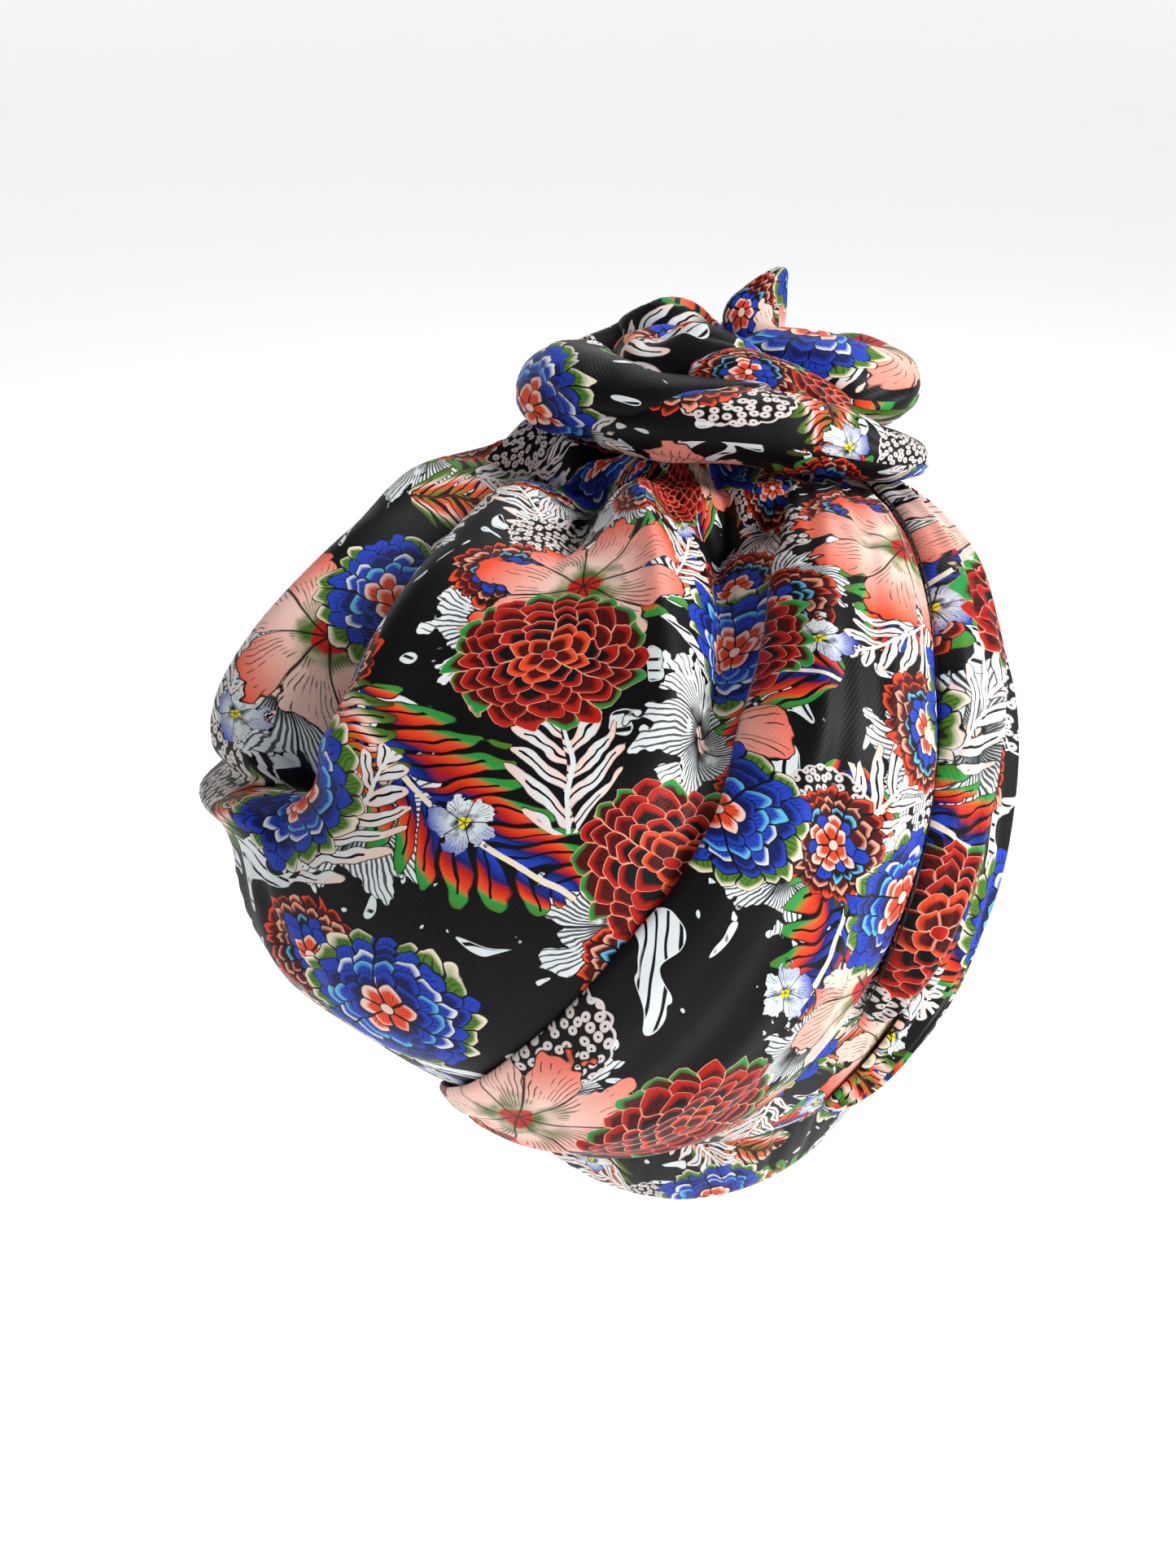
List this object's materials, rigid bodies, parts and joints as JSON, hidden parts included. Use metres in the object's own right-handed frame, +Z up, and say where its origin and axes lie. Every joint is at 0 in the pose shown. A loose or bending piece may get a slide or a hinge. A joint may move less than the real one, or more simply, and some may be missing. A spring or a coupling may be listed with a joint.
{
  "type": "turban",
  "caption": "Ready-tied satin turban: a slouching crown under a wide wrapped fold and side pleats, with a head band and a rolled knot above the brow",
  "frame": {"origin": "middle of the head inside the opening, at ear height", "axes": "+Z is up, +Y is where the wearer faces, +X is the wearer's right; the head leaves along -Z"},
  "size_m": [0.2364, 0.2244, 0.2482],
  "materials": {
    "printed_satin": "black satin printed with coloured flowers"
  },
  "bodies": {
    "root": {"crown": "printed_satin", "head_band": "printed_satin", "wrap_fold": "printed_satin", "inner_pleat": "printed_satin", "outer_pleat": "printed_satin", "knot_cross_roll": "printed_satin", "knot_left_lobe": "printed_satin", "knot_right_lobe": "printed_satin", "knot_front_roll": "printed_satin", "knot_inner_roll": "printed_satin", "knot_core": "printed_satin", "knot_tail": "printed_satin"}
  },
  "joints": []
}
